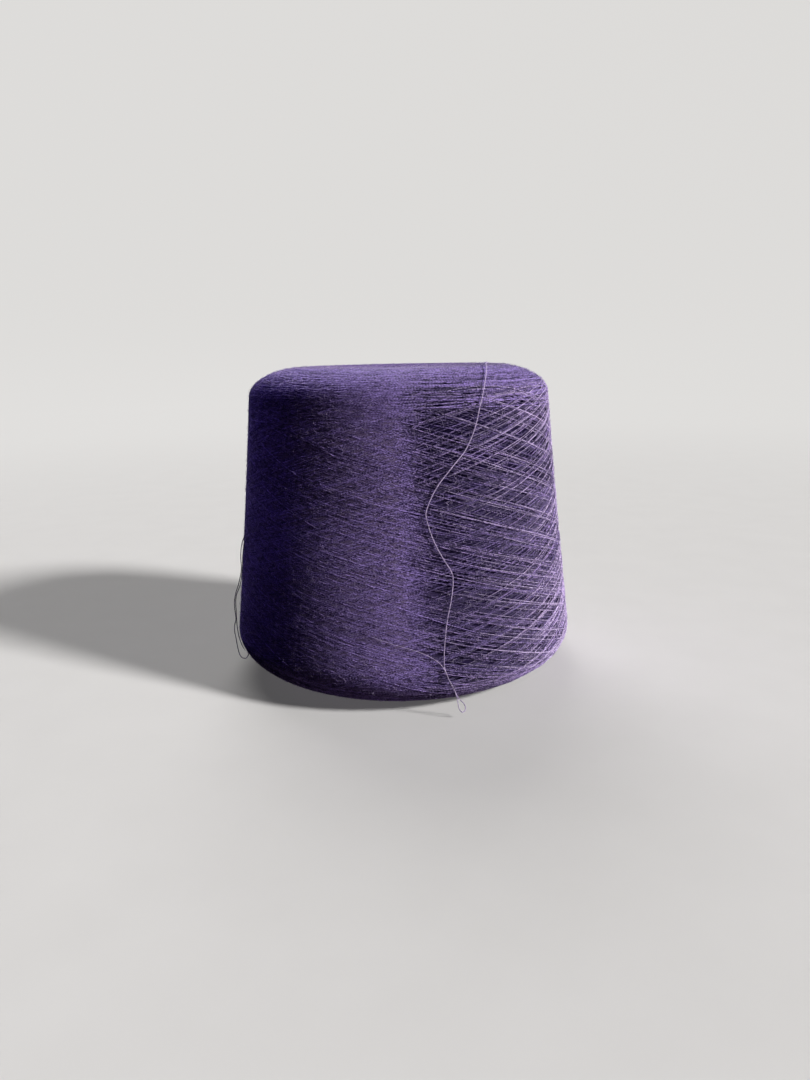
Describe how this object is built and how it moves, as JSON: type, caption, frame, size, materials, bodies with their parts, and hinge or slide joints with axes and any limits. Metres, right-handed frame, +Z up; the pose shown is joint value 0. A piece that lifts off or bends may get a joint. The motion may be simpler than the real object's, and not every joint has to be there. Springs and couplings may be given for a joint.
{
  "type": "cone of yarn",
  "caption": "Thick cone of fine yarn wound criss-cross on a slow taper, rounded at foot and shoulder, with an open bore, a loose end down its front and slack turns at its side.",
  "frame": {"origin": "middle of the foot, on the surface that the package stands on", "axes": "+Z up along the bore, -Y the front, where the loose end hangs, +X the viewer's right"},
  "size_m": [0.1735, 0.1724, 0.1531],
  "materials": {
    "wound_yarn": "matt purple yarn in fine criss-cross turns, fuzzy",
    "free_yarn": "one matt purple two-ply yarn, slightly hairy"
  },
  "bodies": {
    "root": {"wound_yarn": "wound_yarn", "loose_end": "free_yarn", "slack_loop": "free_yarn", "slack_strand": "free_yarn"}
  },
  "joints": []
}
